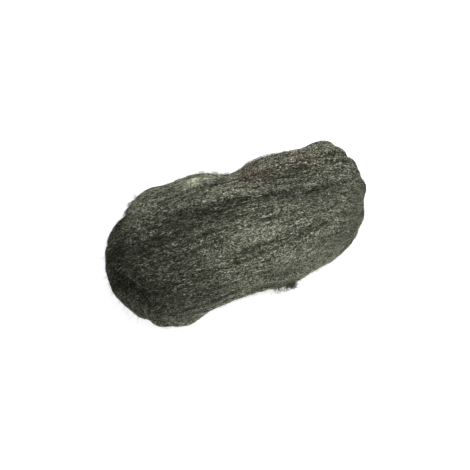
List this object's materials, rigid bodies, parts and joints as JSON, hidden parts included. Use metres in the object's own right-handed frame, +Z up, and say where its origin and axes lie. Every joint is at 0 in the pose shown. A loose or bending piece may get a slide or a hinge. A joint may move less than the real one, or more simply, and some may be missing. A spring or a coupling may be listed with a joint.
{
  "type": "steel wool bundle",
  "caption": "Bundle of dark steel wool: a long ribbon of fine fibres wound over itself into a flat, rounded hank, with turned-over ends and a torn free edge on top.",
  "frame": {"origin": "middle of the bundle's outline seen from above, on the surface that it rests on", "axes": "+X along the strands, from the free end's side to the far fold; +Z up from the flat underside; +Y towards the raised strand at the rear"},
  "size_m": [0.2266, 0.1172, 0.0597],
  "materials": {
    "steel_wool": "fine bare steel fibres, dull and dark greenish grey as a mass"
  },
  "bodies": {
    "root": {"wool_ribbon": "steel_wool"}
  },
  "joints": []
}
